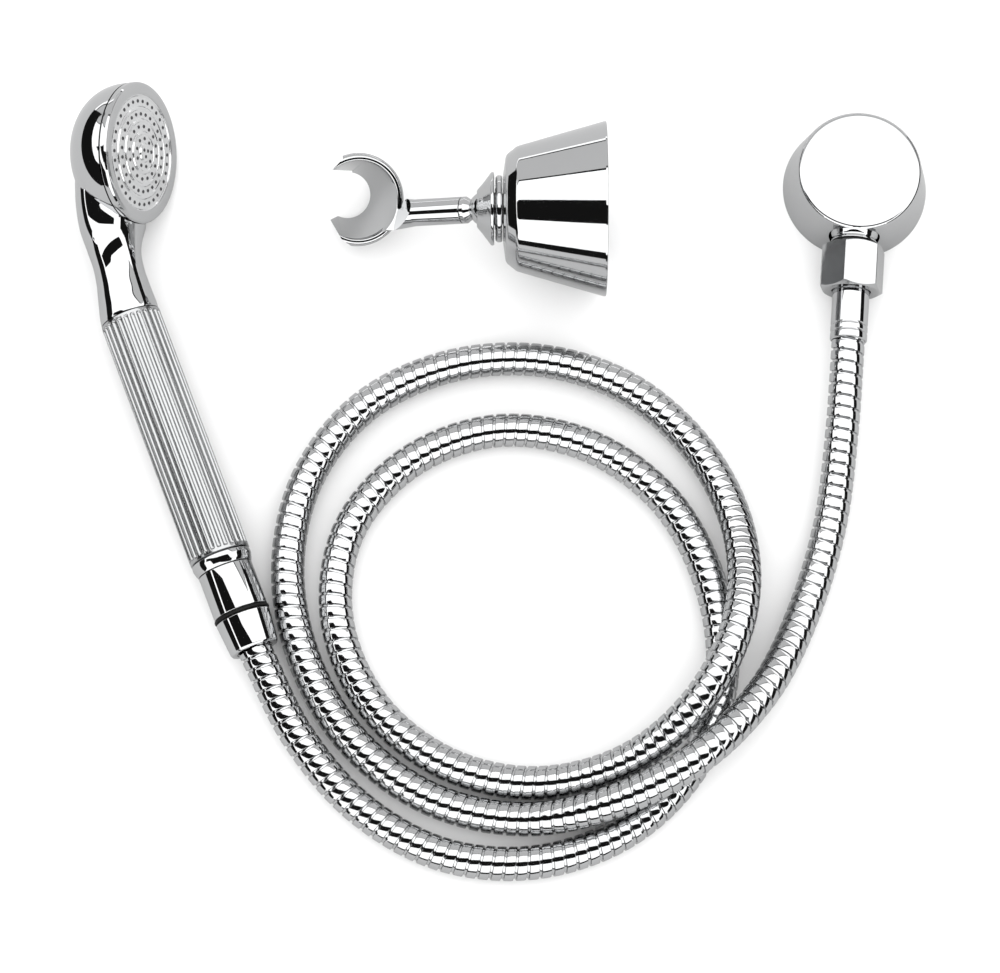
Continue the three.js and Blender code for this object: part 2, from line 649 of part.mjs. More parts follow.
function makeBracket() {
  const mount = new THREE.Group();
  mount.add(
    piece('escutcheon', 'chrome', escutcheon()),
    piece('mounting_plate', 'steel', mountingPlate()),
    piece('grub_screw', 'steel', grubScrew()),
    piece('step_ring', 'chrome', stepRing()),
    piece('ball_seat', 'plastic', ballSeat()),
    piece('bell_collar', 'chrome', bellCollar()),
  );
  mount.position.set(BRACKET_AT[0], BRACKET_AT[1], CONE_R);
  mount.rotation.y = -Math.PI / 2;

  const ball = new THREE.Vector3(BRACKET_AT[0] - BALL_AT, BRACKET_AT[1], CONE_R);
  const [droop, pan] = [radians(ARM_DROOP), radians(ARM_PAN)];
  const level = Math.cos(droop);
  const arm = new THREE.Vector3(-level * Math.cos(pan), level * Math.sin(pan), -Math.sin(droop));
  const stem = piece('ball_stem', 'chrome', ballStem());
  stem.quaternion.setFromUnitVectors(new THREE.Vector3(0, 0, 1), arm);
  stem.position.copy(ball);

  const bore = new THREE.Vector3(...CRADLE_AXIS).normalize();
  const middle = ball.clone().addScaledVector(arm, CRADLE_REACH).addScaledVector(bore, CRADLE_RAISE);
  middle.y += CRADLE_OFFSET;
  const place = frameAlong(bore).setPosition(middle);
  const mouth = frameAlong(new THREE.Vector3(...MOUTH_AXIS).normalize()).setPosition(middle);

  // The long stem runs from the ball's neck into the ring, and widens where it meets it.
  const start = STEM_SEAM + GAP;
  const [flare, end] = [CRADLE_REACH - STEM_FLARE, CRADLE_REACH - STEM_END];
  const longStem = turned([
    [0, start], [STEM_R, start], [STEM_R, flare], [STEM_R + 0.6, flare + 5], [STEM_R + 1.6, end], [0, end],
  ], FINE).transform(new THREE.Matrix4().compose(ball, stem.quaternion, new THREE.Vector3(1, 1, 1)).elements);
  const rim = middle.clone().addScaledVector(bore, CRADLE_H / 2);
  const flat = frameAlong(new THREE.Vector3(...FLAT_AXIS).normalize()).setPosition(rim);
  const cradle = longStem.subtract(cradleBore().transform(place.elements))
    .subtract(ring(CRADLE_R, 0, 0, 20, LARGE).transform(flat.elements))
    .add(cradleRing().transform(place.elements))
    .subtract(cradleMouth().transform(mouth.elements));

  const bracket = new THREE.Group();
  bracket.add(mount, stem, piece('cradle', 'chrome', cradle));
  return bracket;
}

// ---------------------------------------------------------------- the whole set

const set = new THREE.Group();
set.position.x = CENTRE_SHIFT;
set.add(makeOutlet(), makeHose(), makeHandset(), makeBracket());

export default set;
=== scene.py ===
"""Looks of a chrome hand shower set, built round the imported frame.

Everything is modelled in millimetres in its own axes and placed by a matrix into the row frame."""
import math

import bmesh
import bpy
import numpy as np
from mathutils import Matrix, Vector


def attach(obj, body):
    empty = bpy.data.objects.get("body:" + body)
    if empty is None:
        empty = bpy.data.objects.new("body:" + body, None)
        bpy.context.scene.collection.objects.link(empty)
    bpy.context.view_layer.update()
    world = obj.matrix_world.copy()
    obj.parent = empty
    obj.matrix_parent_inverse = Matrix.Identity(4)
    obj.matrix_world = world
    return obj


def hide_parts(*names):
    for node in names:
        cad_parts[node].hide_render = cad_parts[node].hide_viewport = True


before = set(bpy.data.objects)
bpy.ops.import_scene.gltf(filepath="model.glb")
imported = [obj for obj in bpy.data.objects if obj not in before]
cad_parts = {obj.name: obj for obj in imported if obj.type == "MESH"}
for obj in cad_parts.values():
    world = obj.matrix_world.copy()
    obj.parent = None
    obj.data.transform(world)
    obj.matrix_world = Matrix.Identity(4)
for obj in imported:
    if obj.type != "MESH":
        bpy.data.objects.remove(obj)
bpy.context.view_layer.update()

MM = 0.001
ROUND_FACETS = 128

# ---------------------------------------------------------------- places of the groups, in mm


def spin(degrees, axis):
    return Matrix.Rotation(math.radians(degrees), 4, axis)


def shift(x, y, z):
    return Matrix.Translation((x, y, z))


SHIFT = Vector((0.85, 0, 0))  # the CAD moves the whole set by this to bring its middle onto the origin

HEADING, LEAN, ROLL = 21.1, -88.9, -27  # of the handset, about Z, X and its own axis
HANDSET = (Matrix.Translation(SHIFT + Vector((-102.05, -120.63, 12.1)))
           @ spin(HEADING, "Z") @ spin(LEAN, "X") @ spin(ROLL, "Z"))
FACE_TILT = 115
FACE = HANDSET @ shift(32, 0, 212.3) @ spin(FACE_TILT, "Y")

OUTLET_TURN, SPOUT_HEIGHT = -4.5, 14
OUTLET = Matrix.Translation(SHIFT + Vector((148.87, 81.8, 0))) @ spin(OUTLET_TURN, "Z")
SPOUT = OUTLET @ shift(0, 0, SPOUT_HEIGHT) @ spin(90, "X")

CONE_X, CONE_Y, CONE_Z = 42, 60.8, 36.3  # the middle of the cone's wall face
CONE = Matrix.Translation(SHIFT + Vector((CONE_X, CONE_Y, CONE_Z))) @ spin(-90, "Y")
BALL_AT = 49.5  # up the cone's axis
BALL = SHIFT + Vector((CONE_X - BALL_AT, CONE_Y, CONE_Z))
DROOP, PAN = math.radians(20.86), math.radians(4.1)
ARM_WAY = Vector((-math.cos(DROOP) * math.cos(PAN), math.cos(DROOP) * math.sin(PAN), -math.sin(DROOP)))
ARM_TURN = Vector((0, 0, 1)).rotation_difference(ARM_WAY).to_matrix().to_4x4()
ARM = Matrix.Translation(BALL) @ ARM_TURN


def frame_along(way, middle):
    """A frame with its Z along a way and its X as near as can be to the world's X."""
    way = way.normalized()
    side = (Vector((1, 0, 0)) - way * way.x).normalized()
    return Matrix.Translation(middle) @ Matrix((side, way.cross(side), way)).transposed().to_4x4()


BORE = Vector((0.2563, -0.4065, 0.8771)).normalized()
FLAT_WAY = Vector((0.3, -0.2, 0.93))  # square to the flat where the stem runs out at the rim
MOUTH_WAY = Vector((0.04, -0.325, 0.945))  # along which the mouth is cut
# The cradle's middle from the ball: along the arm, up the bore, and to the side.
CRADLE_REACH, CRADLE_RAISE, CRADLE_OFFSET = 61.1, 3, 8.7
CRADLE_MIDDLE = BALL + ARM_WAY * CRADLE_REACH + BORE * CRADLE_RAISE + Vector((0, CRADLE_OFFSET, 0))
CRADLE = frame_along(BORE, CRADLE_MIDDLE)
MOUTH = frame_along(MOUTH_WAY, CRADLE_MIDDLE)

# ---------------------------------------------------------------- camera

scene = bpy.context.scene
camera = bpy.data.objects.new("camera", bpy.data.cameras.new("camera"))
scene.collection.objects.link(camera)
camera.data.sensor_width = 36
camera.data.lens = 127.87
camera.data.clip_end = 50
camera.location = (-0.00115, -0.41926, 1.43286)
camera.rotation_euler = (math.radians(14.5), 0, 0)
scene.camera = camera

# ---------------------------------------------------------------- materials


def metal(name, colour, roughness, spread, grain, bump, stretch=(1, 1, 1)):
    """Plated or bare metal: a fine grain in its gloss and surface, and slow faint changes of tone."""
    material = bpy.data.materials.new(name)
    material.use_nodes = True
    nodes, links = material.node_tree.nodes, material.node_tree.links
    shader = nodes["Principled BSDF"]
    shader.inputs["Metallic"].default_value = 1
    where = nodes.new("ShaderNodeTexCoord")
    scaled = nodes.new("ShaderNodeMapping")
    scaled.inputs["Scale"].default_value = stretch
    links.new(where.outputs["Object"], scaled.inputs["Vector"])

    def noise(scale, detail):
        node = nodes.new("ShaderNodeTexNoise")
        node.inputs["Scale"].default_value = scale
        node.inputs["Detail"].default_value = detail
        links.new(scaled.outputs["Vector"], node.inputs["Vector"])
        return node

    slow, fine = noise(45, 2), noise(grain, 4)
    tone = nodes.new("ShaderNodeMix")
    tone.data_type = "RGBA"
    tone.inputs["A"].default_value = (*(c * 0.96 for c in colour), 1)
    tone.inputs["B"].default_value = (*(min(1, c * 1.04) for c in colour), 1)
    links.new(slow.outputs["Fac"], tone.inputs["Factor"])
    links.new(tone.outputs["Result"], shader.inputs["Base Color"])
    gloss = nodes.new("ShaderNodeMapRange")
    gloss.inputs["To Min"].default_value = max(0.0, roughness - spread)
    gloss.inputs["To Max"].default_value = roughness + spread
    links.new(fine.outputs["Fac"], gloss.inputs["Value"])
    links.new(gloss.outputs["Result"], shader.inputs["Roughness"])
    relief = nodes.new("ShaderNodeBump")
    relief.inputs["Strength"].default_value = 0.25
    relief.inputs["Distance"].default_value = bump
    links.new(fine.outputs["Fac"], relief.inputs["Height"])
    links.new(relief.outputs["Normal"], shader.inputs["Normal"])
    return material


def moulded(name, dark, light, roughness, grain, bump):
    """Rubber or plastic: a mottled colour and a fine moulded grain."""
    material = metal(name, light, roughness, 0.06, grain, bump)
    shader = material.node_tree.nodes["Principled BSDF"]
    shader.inputs["Metallic"].default_value = 0
    tone = next(n for n in material.node_tree.nodes if n.type == "MIX")
    tone.inputs["A"].default_value = (*dark, 1)
    tone.inputs["B"].default_value = (*light, 1)
    return material


CHROME = metal("chrome_polished", (0.53, 0.535, 0.54), 0.04, 0.015, 700, 0.000006)
FACE_CHROME = metal("chrome_face", (0.72, 0.725, 0.73), 0.16, 0.04, 1100, 0.00001)
HOSE_CHROME = metal("chrome_hose", (0.52, 0.525, 0.53), 0.075, 0.03, 1400, 0.00001)
SATIN_CHROME = metal("chrome_satin", (0.5, 0.505, 0.51), 0.14, 0.03, 900, 0.00001)
# The grip's chrome: a satin finish, with a base colour darker than the other chrome as painted shade for the
# grey reflections on its sides.
SHADED_GRIP_CHROME = metal("chrome_grip_shaded", (0.43, 0.435, 0.44), 0.17, 0.03, 900, 0.00001)
BRASS = metal("brass_machined", (0.7, 0.53, 0.24), 0.3, 0.08, 1600, 0.00003, (1, 1, 3))
STEEL = metal("steel_plain", (0.52, 0.53, 0.54), 0.28, 0.08, 1500, 0.00002, (1, 4, 1))
RUBBER = moulded("rubber_black", (0.003, 0.003, 0.003), (0.008, 0.008, 0.008), 0.5, 1800, 0.00004)
NOZZLE = moulded("rubber_grey", (0.035, 0.035, 0.037), (0.07, 0.07, 0.072), 0.5, 1800, 0.00004)
PLASTIC = moulded("plastic_white", (0.72, 0.71, 0.68), (0.82, 0.81, 0.78), 0.42, 1300, 0.00003)
for rubber in (RUBBER, NOZZLE):
    rubber.node_tree.nodes["Principled BSDF"].inputs["Specular IOR Level"].default_value = 0.15

# ---------------------------------------------------------------- mesh helpers


def rounded(profile, steps):
    """A profile of (r, z) or (r, z, radius) points: each corner with a radius becomes a small arc."""
    made, count = [], len(profile)
    for i, point in enumerate(profile):
        here = Vector(point[:2])
        radius = point[2] if len(point) > 2 else 0
        if not radius:
            made.append(tuple(here))
            continue
        back = Vector(profile[i - 1][:2]) - here
        on = Vector(profile[(i + 1) % count][:2]) - here
        half = back.angle(on) / 2
        reach = min(radius / math.tan(half), 0.49 * back.length, 0.49 * on.length)
        radius = reach * math.tan(half)
        start, end = here + back.normalized() * reach, here + on.normalized() * reach
        centre = here + (back.normalized() + on.normalized()).normalized() * (radius / math.sin(half))
        for k in range(steps + 1):
            ray = (start - centre).lerp(end - centre, k / steps)
            made.append(tuple(centre + ray.normalized() * radius))
    return made


def mesh_object(name, points, faces, place=Matrix.Identity(4)):
    """A mesh of points in mm, put in place and scaled to metres, its faces turned to point out."""
    mesh = bpy.data.meshes.new(name)
    mesh.from_pydata([tuple(p) for p in points], [], faces)
    mesh.transform(Matrix.Scale(MM, 4) @ place)
    shape = bmesh.new()
    shape.from_mesh(mesh)
    bmesh.ops.remove_doubles(shape, verts=shape.verts, dist=1e-7)
    bmesh.ops.recalc_face_normals(shape, faces=shape.faces)
    shape.to_mesh(mesh)
    shape.free()
    made = bpy.data.objects.new(name, mesh)
    scene.collection.objects.link(made)
    return made


def around_circle(count):
    """Evenly spaced angles, once round."""
    return [2 * math.pi * j / count for j in range(count)]


def band(low, high, around):
    """The faces between two rings of so many points, which are told by their numbers."""
    return [(low * around + j, low * around + (j + 1) % around,
             high * around + (j + 1) % around, high * around + j) for j in range(around)]


def lathe(name, profile, place, facets=ROUND_FACETS, steps=4):
    """Turn a profile round Z. It starts and ends on the axis, or else it closes on itself."""
    line = rounded(profile, steps)
    on_axis = [r < 1e-6 for r, _ in line]
    points, faces = [], []
    for r, z in line:
        points += [(r * math.cos(a), r * math.sin(a), z) for a in around_circle(facets)]
    spans = len(line) - 1 if on_axis[0] else len(line)
    for i in range(spans):
        k = (i + 1) % len(line)
        for a, b, c, d in band(i, k, facets):
            if on_axis[i]:
                faces.append((i * facets, c, d))
            elif on_axis[k]:
                faces.append((a, b, k * facets))
            else:
                faces.append((a, b, c, d))
    return mesh_object(name, points, faces, place)


def prism(name, outline, low, high, place):
    """An outline of (x, y) points carried from one height to another."""
    count = len(outline)
    points = [(x, y, z) for z in (low, high) for x, y in outline]
    sides = [(i, (i + 1) % count, (i + 1) % count + count, i + count) for i in range(count)]
    return mesh_object(name, points, [tuple(range(count)), tuple(range(count, 2 * count)), *sides], place)


def disc(outer, low, high, place, facets=48):
    """A plain round cutter from one height to another."""
    return lathe("cutter", [(0, low), (outer, low), (outer, high), (0, high)], place, facets)


def join(name, objects):
    """One object out of several, which are used up."""
    shape = bmesh.new()
    for o in objects:
        shape.from_mesh(o.data)
        bpy.data.objects.remove(o)
    mesh = bpy.data.meshes.new(name)
    shape.to_mesh(mesh)
    shape.free()
    made = bpy.data.objects.new(name, mesh)
    scene.collection.objects.link(made)
    return made


def boolean(target, other, operation):
    """Change target by other, which is used up."""
    modifier = target.modifiers.new("cut", "BOOLEAN")
    modifier.object, modifier.operation, modifier.solver = other, operation, "EXACT"
    graph = bpy.context.evaluated_depsgraph_get()
    mesh = bpy.data.meshes.new_from_object(target.evaluated_get(graph))
    target.modifiers.clear()
    old = target.data
    target.data = mesh
    bpy.data.meshes.remove(old)
    bpy.data.objects.remove(other)


def cut(target, *others):
    for other in others:
        boolean(target, other, "DIFFERENCE")


def dress(piece, material, body, *nodes, crease=32, slot="chrome"):
    """Smooth a piece but for its creases, give it its material, and put it in place of its CAD nodes."""
    piece.data.materials.clear()
    piece.data.materials.append(material)
    piece.data.shade_smooth()
    piece.data.set_sharp_from_angle(angle=math.radians(crease))
    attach(piece, body)
    if nodes:
        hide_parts(*nodes)
    return piece


# ---------------------------------------------------------------- hose

HOSE_ROUTE = [
    (143.23, 10.12, 14), (140, -28, 10.5), (134.5, -66.5, 7.4), (123, -103.5, 8),
    (105.5, -138, 15), (79, -166, 22), (44.5, -184, 18), (7, -190, 9),
    (-31, -181, 7.4), (-62, -157.5, 7), (-82, -124, 7), (-89.5, -85.5, 7),
    (-82, -47.5, 7), (-59, -16.5, 7), (-24.5, 1, 7), (14.5, 4, 7),
    (51, -8, 7.2), (80, -34.5, 7.5), (96, -69.5, 12), (96, -107, 20),
    (79.5, -142, 21.5), (51, -166, 14), (13.5, -175, 8), (-23.5, -167, 7.4),
    (-53.5, -143, 7), (-69, -107, 7), (-64.5, -69.5, 7), (-39.5, -40, 7),
    (-3, -26.5, 7), (35, -33, 7), (66, -56, 7), (84, -90, 7),
    (89, -128.5, 7), (77.5, -165.5, 7), (50.5, -193.5, 7), (13.5, -207, 7),
    (-25, -204, 7), (-59, -185, 7.3), (-84.5, -155.5, 9.5), (-101.69, -121.56, 12.1),
]
HOSE_R = 6.95
HOSE_PITCH = 4.8
HOSE_ROUND = 26  # points round the hose
HOSE_SAMPLES = 20  # of the route, to one turn of the strip
HOSE_OVERRUN = 1.0  # at each end of the route, inside the fittings
# One turn of the wound strip: share of the pitch, and how far below the outer radius it lies.
STRIP = [
    (0, 0.95), (0.08, 0.9), (0.14, 0.08), (0.22, 0), (0.5, -0.015), (0.78, 0), (0.86, 0.08), (0.92, 0.85),
]


def smooth_route(route, per_span=60):
    """The centripetal curve that the CAD hose follows, as evenly close points."""
    given = [np.array(p, float) for p in route]
    given = [2 * given[0] - given[1], *given, 2 * given[-1] - given[-2]]
    line = []
    for i in range(1, len(given) - 2):
        a, b, c, d = given[i - 1:i + 3]
        t0, t1, t2 = (max(float(np.linalg.norm(v - u)) ** 0.5, 1e-4) for u, v in ((a, b), (b, c), (c, d)))
        start = ((b - a) / t0 - (c - a) / (t0 + t1) + (c - b) / t1) * t1
        end = ((c - b) / t1 - (d - b) / (t1 + t2) + (d - c) / t2) * t1
        for k in range(per_span):
            w = k / per_span
            line.append(b + start * w + (-3 * b + 3 * c - 2 * start - end) * w**2
                        + (2 * b - 2 * c + start + end) * w**3)
    line.append(given[-2])
    return np.array(line) + np.array(SHIFT)


def hose_line():
    """The route, carried on a little at both ends."""
    line = smooth_route(HOSE_ROUTE)
    first, last = line[0] - line[1], line[-1] - line[-2]
    first, last = first / np.linalg.norm(first), last / np.linalg.norm(last)
    return np.vstack([line[0] + first * HOSE_OVERRUN, line, line[-1] + last * HOSE_OVERRUN])


def along(line, lengths):
    """Points, tangents and a steady cross direction at these lengths along the line."""
    steps = np.concatenate([[0], np.cumsum(np.linalg.norm(np.diff(line, axis=0), axis=1))])
    spots = np.stack([np.interp(lengths, steps, line[:, k]) for k in range(3)], 1)
    ways = np.gradient(spots, axis=0)
    ways /= np.linalg.norm(ways, axis=1)[:, None]
    across = np.zeros_like(ways)
    now = np.cross(ways[0], (0, 0, 1))
    for i, way in enumerate(ways):
        now = now - way * now.dot(way)
        now /= np.linalg.norm(now)
        across[i] = now
    return spots, ways, across


def make_hose():
    """A helical skin: each turn of the strip joins the next one, so its seam runs as a screw."""
    line = hose_line()
    total = float(np.linalg.norm(np.diff(line, axis=0), axis=1).sum())
    turns = int(total / HOSE_PITCH)
    pitch = total / turns
    grid = np.linspace(0, total, turns * HOSE_SAMPLES + 1)
    spots, ways, across = along(line, grid)
    shares = [s for s, _ in STRIP]
    drops = [d for _, d in STRIP]
    rows = len(STRIP) * (turns + 2)
    points, reached = [], []
    for row in range(rows):
        turn, k = divmod(row, len(STRIP))
        for j in range(HOSE_ROUND):
            s = (turn - 1 + shares[k] + j / HOSE_ROUND) * pitch
            inside = min(max(s, 0), total)
            x = inside / total * (len(grid) - 1)
            i = min(int(x), len(grid) - 2)
            w = x - i
            spot = spots[i] * (1 - w) + spots[i + 1] * w
            way = ways[i] * (1 - w) + ways[i + 1] * w
            side = across[i] * (1 - w) + across[i + 1] * w
            up = np.cross(side, way)
            angle = 2 * math.pi * j / HOSE_ROUND
            radius = HOSE_R - drops[k]
            points.append(spot + radius * (math.cos(angle) * side + math.sin(angle) * up))
            reached.append(s)
    points, reached = np.array(points), np.array(reached)
    faces = []
    for row in range(rows - 1):
        for j in range(HOSE_ROUND):
            a, d = row * HOSE_ROUND + j, (row + 1) * HOSE_ROUND + j
            if j + 1 < HOSE_ROUND:
                b, c = a + 1, d + 1
            else:
                b = (row + len(STRIP)) * HOSE_ROUND
                c = b + HOSE_ROUND
            if c >= rows * HOSE_ROUND:
                continue
            if reached[[a, b, c, d]].max() <= 0 or reached[[a, b, c, d]].min() >= total:
                continue
            faces.append((a, b, c, d))
    used = sorted({i for face in faces for i in face})
    number = {i: n for n, i in enumerate(used)}
    piece = mesh_object("metal_hose", points[used], [[number[i] for i in face] for face in faces])
    dress(piece, HOSE_CHROME, "outlet", "hose", crease=28, slot="hose_metal")
    return piece, line, total


hose, hose_path, hose_length = make_hose()

# ---------------------------------------------------------------- wall outlet elbow

NUT_FLATS = 24
NUT_TURN = 16.8  # degrees that it is turned from having a corner on top
NUT_LOW, NUT_HIGH = 30.3, 50.3
NUT_EDGE = 0.7  # how far its long edges are rounded


def make_outlet():
    cover = lathe("elbow_cover", [
        (0, 25), (25.7, 25, 2), (30.3, 1.2, 0.4), (30.5, 0.02, 0.3), (28.3, 0.02), (22.5, 22.8, 1), (0, 22.8),
    ], OUTLET)
    screw_hole = OUTLET @ shift(0, 0, 6) @ spin(-90, "X")
    cut(cover, disc(10.7, 18, 36, SPOUT), disc(2.3, 18, 40, screw_hole))
    dress(cover, CHROME, "outlet", "outlet_cover")

    spout = lathe("spout_neck", [
        (8.32, 20), (10.6, 20), (10.6, 24.4, 0.6), (9.9, 25.6, 0.8), (9.1, 27, 1.5), (9.6, 28.3, 0.6),
        (9.6, 28.7, 0.3), (8.32, 28.7)], SPOUT)
    dress(spout, CHROME, "outlet")
    # Black rubber seal ring on the neck: partly a real seal, partly painted shade for the dark gap between
    # the cover and the nut.
    seal = lathe("spout_seal_and_shade", [(8.35, 28.8), (9.75, 28.8, 0.5), (9.75, 30.1, 0.5), (8.35, 30.1)], SPOUT)
    dress(seal, RUBBER, "outlet", slot="rubber")

    corner = NUT_FLATS / math.sqrt(3)
    turns = [math.radians(60 * i + NUT_TURN - 90) for i in range(6)]
    nut = prism("hose_hex_nut", [(corner * math.cos(a), corner * math.sin(a)) for a in turns],
                NUT_LOW, NUT_HIGH, SPOUT)
    shape = bmesh.new()
    shape.from_mesh(nut.data)
    height = (NUT_HIGH - NUT_LOW) * MM
    edges = [e for e in shape.edges if abs((e.verts[0].co - e.verts[1].co).length - height) < 1e-4]
    bmesh.ops.bevel(shape, geom=edges, offset=NUT_EDGE * MM, segments=4, profile=0.5, affect="EDGES")
    shape.to_mesh(nut.data)
    shape.free()
    boolean(nut, lathe("cutter", [
        (0, NUT_LOW), (11.4, NUT_LOW, 0.5), (corner + 0.5, 32.1), (corner + 0.5, 48.5),
        (11.4, NUT_HIGH, 0.5), (0, NUT_HIGH),
    ], SPOUT), "INTERSECT")
    cut(nut, disc(8.6, 29, 46.8, SPOUT, 64),
        lathe("cutter", [(0, 46), (8.05, 46), (8.05, 49.9), (8.7, 50.6), (8.7, 52), (0, 52)], SPOUT, 64))
    dress(nut, SATIN_CHROME, "outlet_nut", "hex_nut", crease=24)

    ferrule = lathe("hose_ferrule", [
        (5.2, 46.6), (7.75, 46.6, 0.3), (7.75, 64.6, 0.15), (7.1, 65.2, 0.3), (7.75, 65.8, 0.15),
        (7.75, 67.6, 0.15), (7.1, 68.2, 0.3), (7.75, 68.8, 0.15), (7.75, 71.4, 0.5), (7.05, 71.9),
        (7.0, 70.4), (5.2, 70.4),
    ], SPOUT, 96)
    dress(ferrule, CHROME, "outlet", "ferrule_outlet")
    return nut, ferrule


hex_nut, ferrule = make_outlet()

# ---------------------------------------------------------------- handset

RIBS = 28
RIB_POINTS = 14  # points round the sleeve, to one rib
GRIP_LOW, GRIP_HIGH = 41.3, 150.5
GRIP_R, GRIP_INNER_R = 12.7, 10.2
GRIP_EDGE = 0.35  # radius of the sleeve's edges
GROOVE_DEPTH, GROOVE_HALF = 0.75, 1.02
GROOVE_END = 1.35  # where a groove's round end starts, from the end of the sleeve


def make_grip():
    """The fluted sleeve: each groove is a long slot with round ends."""
    around = RIBS * RIB_POINTS
    angles = around_circle(around)
    ends = [0, 0.25, 0.6, 1.0, 1.35, 1.6, 1.9, 2.2, 2.5, 2.9, 3.4]
    levels = [GRIP_LOW + e for e in ends] + list(np.linspace(GRIP_LOW + 8, GRIP_HIGH - 8, 7))
    levels += [GRIP_HIGH - e for e in reversed(ends)]
    points = []
    for z in levels:
        inset = min(z - GRIP_LOW, GRIP_HIGH - z)
        edge = GRIP_EDGE - min(inset, GRIP_EDGE)
        radius = GRIP_R - (GRIP_EDGE - math.sqrt(max(GRIP_EDGE**2 - edge**2, 0)))
        past = max(0, GROOVE_END + GROOVE_HALF - inset)
        for j, angle in enumerate(angles):
            side = ((j % RIB_POINTS) / RIB_POINTS - 0.5) * 2 * math.pi * GRIP_R / RIBS
            off = math.hypot(side, past) / GROOVE_HALF
            dip = GROOVE_DEPTH * math.sqrt(max(0, 1 - off * off))
            points.append(((radius - dip) * math.cos(angle), (radius - dip) * math.sin(angle), z))
    for z in (GRIP_HIGH, GRIP_LOW):
        points += [(GRIP_INNER_R * math.cos(a), GRIP_INNER_R * math.sin(a), z) for a in angles]
    rings = len(levels) + 2
    faces = [face for i in range(rings) for face in band(i, (i + 1) % rings, around)]
    dress(mesh_object("ribbed_grip", points, faces, HANDSET), SHADED_GRIP_CHROME, "handset", "grip_sleeve",
          crease=50)


def make_handle():
    lathe_parts = [
        ("cone_nut_shell", "handset_nut", "cone_nut", CHROME, [
            (7.6, 0), (9.7, 0, 0.4), (10.2, 0.9, 0.6), (11.5, 14.2, 0.3), (11.2, 14.6), (9.3, 14.6),
            (9.3, 2.5), (7.6, 2.5)]),
        ("swivel_seal", "handset", "swivel_ring", RUBBER, [
            (9.3, 14.9), (11.75, 14.9, 0.45), (11.75, 16.2, 0.45), (9.3, 16.2)]),
        ("handle_sleeve", "handset", "lower_sleeve", CHROME, [
            (7.8, 17.5), (9.5, 16.5), (11.4, 16.5, 0.35), (11.4, 35.4, 0.25), (7.8, 35.4)]),
        ("collar_of_grip", "handset", "grip_collar", CHROME, [
            (7.8, 35.7), (11.5, 35.7, 0.4), (12.0, 36.9, 1.5), (12.6, 39, 1.5), (12.5, 40.7, 0.5), (12.0, 41),
            (7.8, 41)]),
    ]
    made = {}
    for name, body, node, material, profile in lathe_parts:
        piece = lathe(name, profile, HANDSET)
        made[name] = dress(piece, material, body, node, slot="rubber" if material is RUBBER else "chrome")
    return made


# The outside of the neck, as level sections: height, how far forward, half depth, half width.
NECK = [
    (150.8, 0, 12.4, 12.4), (151.1, 0, 12.5, 12.5), (152, 0.1, 12.5, 12.5), (160, 1.1, 11.6, 11.6),
    (170, 2.7, 10.5, 10.6), (176, 3.8, 10.6, 10.9), (182, 5.5, 11.7, 13.2), (186, 6.9, 12.4, 16.2),
    (190, 7.8, 12.8, 18), (196, 9.4, 12.8, 19.6), (204, 12.6, 13.2, 21), (212, 16.6, 13.6, 21.6),
    (220, 20.8, 12.8, 20),
]


def make_neck():
    """A smooth solid through the sections of the neck."""
    heights = [s[0] for s in NECK]
    table = np.array([s[1:] for s in NECK])
    slopes = np.gradient(table, np.array(heights), axis=0)
    around, points, levels = 96, [], []
    for i in range(len(NECK) - 1):
        steps = max(1, int((heights[i + 1] - heights[i]) / 1.5))
        for k in range(steps):
            t, span = k / steps, heights[i + 1] - heights[i]
            value = ((2 * t**3 - 3 * t**2 + 1) * table[i] + (t**3 - 2 * t**2 + t) * span * slopes[i]
                     + (3 * t**2 - 2 * t**3) * table[i + 1] + (t**3 - t**2) * span * slopes[i + 1])
            levels.append((heights[i] + t * span, *value))
    levels.append(NECK[-1])
    for z, x, depth, width in levels:
        points += [(x + depth * math.cos(a), width * math.sin(a), z) for a in around_circle(around)]
    faces = [tuple(range(around)), tuple(range((len(levels) - 1) * around, len(levels) * around))]
    for i in range(len(levels) - 1):
        faces += band(i, i + 1, around)
    return mesh_object("neck", points, faces, HANDSET)


BOWL_POWER = 2.3  # two would be an ellipse
SEAM = -3.3  # where the head's shell ends behind the face's rim


def bowl(name, radius, depth, mouth):
    """The back of the head, or its hollow: a rounded bowl below the face, open at a height."""
    profile = [(0, mouth), (radius, mouth)]
    for i in range(40):
        a = i / 40 * math.pi / 2
        r, z = math.cos(a) ** (2 / BOWL_POWER), math.sin(a) ** (2 / BOWL_POWER)
        profile.append((radius * r, min(mouth, 0) - (depth + min(mouth, 0)) * z))
    profile.append((0, -depth))
    return lathe(name, profile, FACE)


# Rings of nozzles: radius, how many, the first one's turn as a share of a step, and the plate's height.
NOZZLE_RINGS = [
    (21.6, 34, 0, -0.3), (16.2, 26, 0.5, 0.2), (11.0, 16, 0, 0.7), (5.9, 9, 0.5, 1.2), (1.7, 3, 0, 2.1),
]


